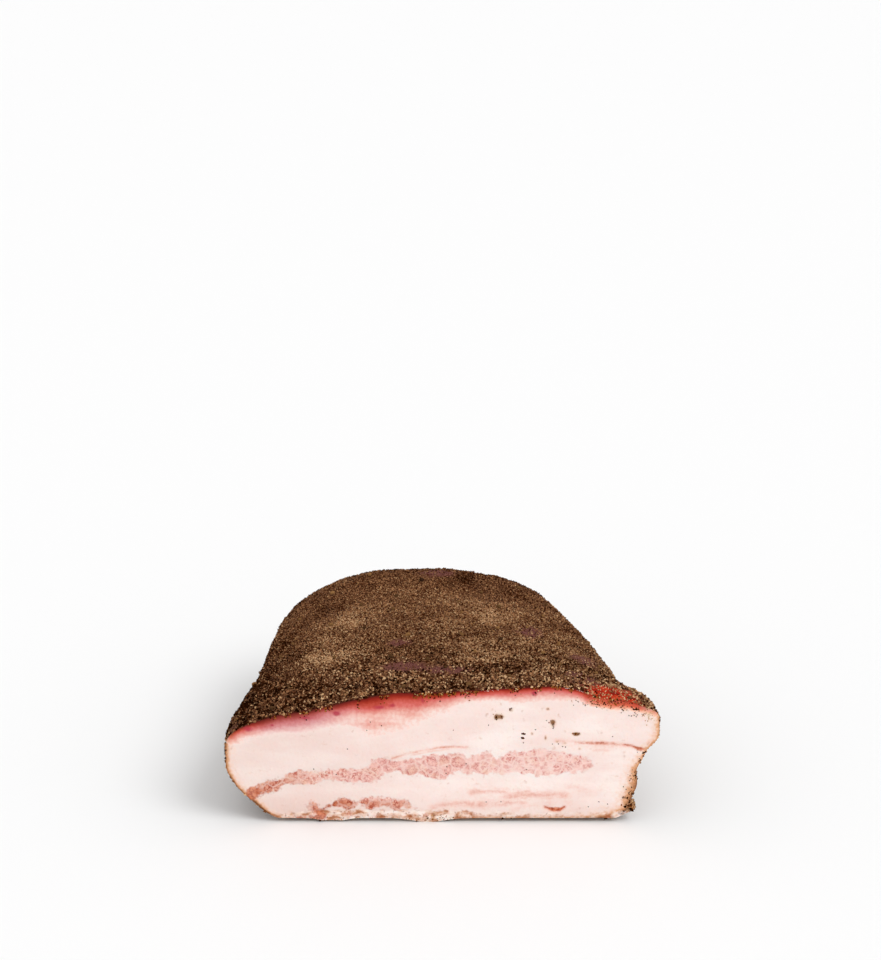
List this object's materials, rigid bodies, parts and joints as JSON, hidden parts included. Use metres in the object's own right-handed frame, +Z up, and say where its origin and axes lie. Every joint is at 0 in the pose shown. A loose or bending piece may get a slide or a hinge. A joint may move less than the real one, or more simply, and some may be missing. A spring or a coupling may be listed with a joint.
{
  "type": "guanciale",
  "caption": "Cured pork jowl in a crust of crushed pepper, halved with a straight cut that shows white fat and thin streaks of lean.",
  "frame": {"origin": "under the middle of the piece, on the surface that it lies on", "axes": "+Z up, the cut face looks towards -Y, +X runs along the cut, and the rounded end is towards +Y"},
  "size_m": [0.1808, 0.1384, 0.0643],
  "materials": {
    "pepper_crust": "dry rough crust of crushed pepper over cured fat",
    "lean_meat": "soft satin cured lean meat"
  },
  "bodies": {
    "root": {"fat_and_crust": "pepper_crust", "lean_streak_upper": "lean_meat", "lean_streak_lower": "lean_meat"}
  },
  "joints": []
}
